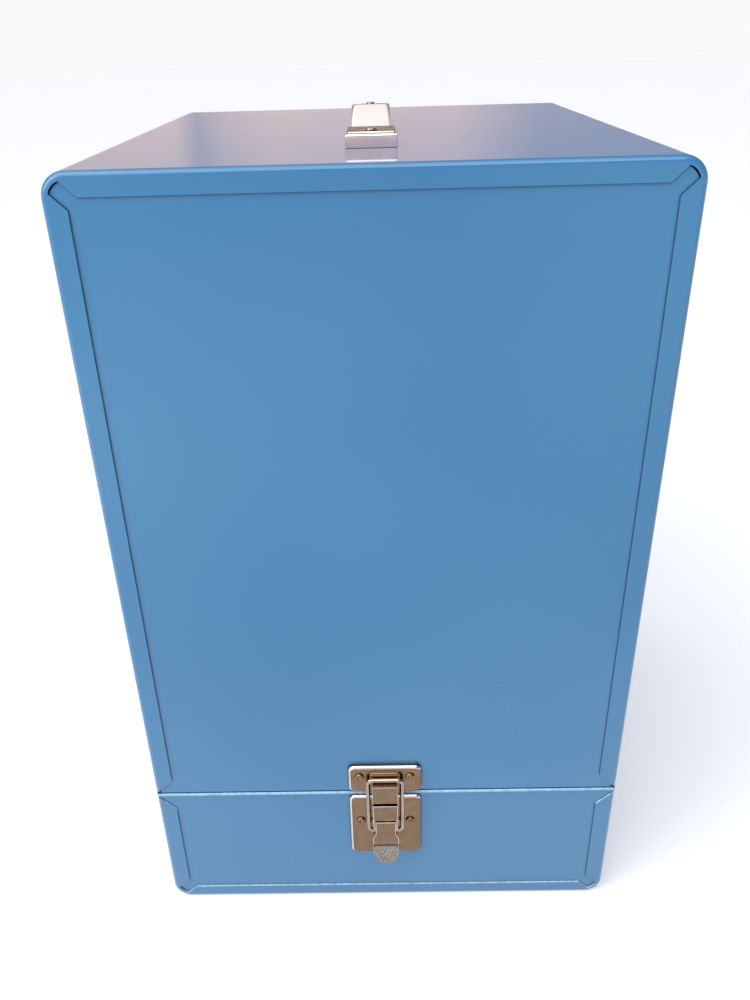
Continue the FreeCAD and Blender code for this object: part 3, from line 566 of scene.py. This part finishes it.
def flat_strap(name, sign):
    """Half of the strap lying flat, its long edges rounded and cut into steps along its length."""
    low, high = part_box("handle_sleeve")
    width, reach = high.x - low.x, high.y
    bpy.ops.mesh.primitive_cube_add(size=1, location=(0, sign * reach / 2, 0),
                                    scale=(width, reach, STRAP_THICK))
    half = bpy.context.object
    settle(half, name)
    bpy.ops.object.mode_set(mode="EDIT")
    side_x = width / 2 * 0.99
    pick_edges(half, lambda a, b: abs(a.x) > side_x and a.x * b.x > 0 and a.z * b.z > 0)
    bpy.ops.mesh.bevel(offset=1.25 * MM, segments=5, profile=0.55, affect="EDGES")
    for share in (-0.55, -0.28, 0.0, 0.28, 0.55):
        bpy.ops.mesh.select_all(action="SELECT")
        bpy.ops.mesh.bisect(plane_co=(share * width / 2, 0, 0), plane_no=(1, 0, 0))
    for step in range(1, STRAP_STEPS):
        bpy.ops.mesh.select_all(action="SELECT")
        bpy.ops.mesh.bisect(plane_co=(0, sign * reach * step / STRAP_STEPS, 0), plane_no=(0, 1, 0))
    return half, reach


def strap():
    """The vinyl strap in two halves that meet in the middle, so that each bends from its own cap."""
    for side, sign in (("front", -1), ("rear", 1)):
        half, reach = flat_strap("strap_" + side, sign)
        near = reach / STRAP_STEPS / 3
        for step in range(STRAP_STEPS + 1):
            y = sign * reach * step / STRAP_STEPS
            pick_spots(half, lambda spot: abs(spot.y - y) < near)
            bpy.ops.transform.translate(value=(0, 0, eased_height(y)))
        bpy.ops.object.mode_set(mode="OBJECT")
        bpy.ops.object.shade_smooth_by_angle(angle=DOME_ANGLE)
        paint(half, CREAM)
        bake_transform(half)
        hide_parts("handle_sleeve", "handle_core")


def handle_caps():
    """A pressed cap at each end of the strap, with a bead rolled along its outer edge."""
    bead_radius, bead_play, bead_back, bead_level = 0.55 * MM, 2.4 * MM, 2.1 * MM, 5.45 * MM
    for side, sign in (("front", -1), ("rear", 1)):
        node = "handle_cap_" + side
        low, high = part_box(node)
        cap = rimmed_copy(node, "cap_pressing_" + side, 0.25 * MM, "cover", CAP, CAP)
        cap.data.materials.append(LACQUER)
        crown = high.z - 1.5 * MM
        brighten(cap, lambda c, n: n.z > 0.9 and c.z > crown, 2)
        outer = low.y if sign < 0 else high.y
        bpy.ops.mesh.primitive_cylinder_add(vertices=20, radius=bead_radius,
                                            depth=high.x - low.x - bead_play,
                                            location=(0, outer - sign * bead_back, low.z + bead_level),
                                            rotation=(0, QUARTER_TURN, 0))
        bead = bpy.context.object
        settle(bead, "cap_bead_" + side)
        round_edges(bead, 0.3 * MM, 3)
        place(bead, "cover", "nickel_plate", CAP)


# Stage

ROOM_HEIGHTS = ((0.0, (0.87, 0.66, 0.62, 1)), (0.16, (0.81, 0.62, 0.58, 1)),
                (0.30, (0.26, 0.26, 0.28, 1)), (1.0, (0.40, 0.42, 0.46, 1)))
ROOM_STREAKS = ((0.0, (0.92, 0.94, 1.0, 1)), (0.14, (1.0, 1.0, 0.96, 1)), (0.22, (1.0, 1.0, 1.0, 1)),
                (0.25, (0.60, 0.70, 0.84, 1)), (0.29, (0.86, 0.88, 0.96, 1)), (0.36, (1.0, 1.0, 1.0, 1)),
                (0.62, (0.92, 0.94, 1.0, 1)), (0.74, (0.52, 0.64, 0.84, 1)), (1.0, (0.42, 0.56, 0.78, 1)))
STREAK_REACH = 0.4            # how far to each side the room's streaks are spread
BACKDROP = (0.95, 0.95, 0.95, 1)
FLOOR_GLOW = (1, 0.95, 0.88, 1)
FLOOR_CARD = ((0.78, 0.77, 0.76, 1), (0.74, 0.73, 0.72, 1))
FLOOR_WHITE = ((0.97, 0.97, 0.97, 1), (0.95, 0.95, 0.95, 1))


def aim(thing, target):
    thing.rotation_euler = (Vector(target) - thing.location).to_track_quat("-Z", "Y").to_euler()


def lamp(name, spot, target, size, power):
    """A rectangular soft light."""
    bpy.ops.object.light_add(type="AREA", location=spot)
    light = bpy.context.object
    light.name = name
    light.data.shape = "RECTANGLE"
    light.data.size, light.data.size_y = size
    light.data.energy = power
    aim(light, target)


def daylight(name, spot, strength):
    """Even light over the whole floor from a broad source far away."""
    bpy.ops.object.light_add(type="SUN", location=spot)
    light = bpy.context.object
    light.name = name
    light.data.energy = strength
    light.data.angle = math.radians(80)
    aim(light, (0, 0, 0))


def ramp(tree, source, stops):
    """A colour that runs through stops as a number does; the first and last stop are its ends."""
    scale = tree.nodes.new("ShaderNodeValToRGB")
    scale.color_ramp.elements[0].color = stops[0][1]
    scale.color_ramp.elements[1].color = stops[-1][1]
    for level, shade in stops[1:-1]:
        scale.color_ramp.elements.new(level).color = shade
    tree.links.new(source, scale.inputs["Fac"])
    return scale.outputs["Color"]


def room_colour(tree):
    """The room's shade by height, with soft upright streaks across it."""
    spots = tree.nodes.new("ShaderNodeTexCoord")
    parts = tree.nodes.new("ShaderNodeSeparateXYZ")
    tree.links.new(spots.outputs["Generated"], parts.inputs["Vector"])
    across = tree.nodes.new("ShaderNodeMapRange")
    across.inputs["From Min"].default_value = -STREAK_REACH
    across.inputs["From Max"].default_value = STREAK_REACH
    tree.links.new(parts.outputs["X"], across.inputs["Value"])
    tinted = tree.nodes.new("ShaderNodeMix")
    tinted.data_type = "RGBA"
    tinted.blend_type = "MULTIPLY"
    tinted.inputs[0].default_value = 1.0
    tree.links.new(ramp(tree, parts.outputs["Z"], ROOM_HEIGHTS), tinted.inputs[6])
    tree.links.new(ramp(tree, across.outputs["Result"], ROOM_STREAKS), tinted.inputs[7])
    return tinted.outputs[2]


def surroundings():
    """A white backdrop, and around it a bright room with a dark side behind the camera."""
    world = bpy.data.worlds.new("studio")
    bpy.context.scene.world = world
    world.use_nodes = True
    tree = world.node_tree
    room = tree.nodes["Background"]
    tree.links.new(room_colour(tree), room.inputs["Color"])
    backdrop = tree.nodes.new("ShaderNodeBackground")
    backdrop.inputs["Color"].default_value = BACKDROP
    seen = tree.nodes.new("ShaderNodeLightPath")
    choice = tree.nodes.new("ShaderNodeMixShader")
    tree.links.new(seen.outputs["Is Camera Ray"], choice.inputs[0])
    tree.links.new(room.outputs["Background"], choice.inputs[1])
    tree.links.new(backdrop.outputs["Background"], choice.inputs[2])
    tree.links.new(choice.outputs["Shader"], tree.nodes["World Output"].inputs["Surface"])


def floor():
    """A wide white card that throws less light on the case than it shows to the camera."""
    bpy.ops.mesh.primitive_circle_add(vertices=96, radius=14, fill_type="NGON", location=(0, 0, 0))
    ground = bpy.context.object
    settle(ground, "floor")
    finish = Finish("pale_floor", Roughness=0.9, Specular_IOR_Level=0.2, Emission_Color=FLOOR_GLOW,
                    Emission_Strength=0.18)
    shade = finish.noise(0.6, 1)
    seen = finish.tree.nodes.new("ShaderNodeLightPath").outputs["Is Camera Ray"]
    finish.colour(finish.blend(seen, finish.blend(shade, *FLOOR_CARD), finish.blend(shade, *FLOOR_WHITE)))
    paint(ground, finish.material)


def camera():
    bpy.ops.object.camera_add(location=(0, -0.4055, 0.4302))
    viewer = bpy.context.object
    viewer.rotation_euler = [math.radians(turn) for turn in (64.465, 1.484, 0.298)]
    viewer.data.lens = 28.915
    viewer.data.shift_x = 0.0106
    viewer.data.shift_y = -0.082
    viewer.data.clip_start = 0.01
    bpy.context.scene.camera = viewer


def stage():
    surroundings()
    floor()
    lamp("overhead", (-0.2, -0.75, 1.6), (0, 0, 0.3), (2.0, 0.8), 8)
    lamp("left_side", (-0.95, -0.65, 0.75), (0, 0, 0.2), (0.6, 0.6), 4.5)
    daylight("high_front", (-0.3, -0.35, 1.0), 1.9)
    camera()
    bpy.context.scene.view_settings.view_transform = "Standard"


sheet_steel()
latch()
strike_ridge()
latch_rivets()
cap_rivets()
hinge()
handle_caps()
strap()
stage()
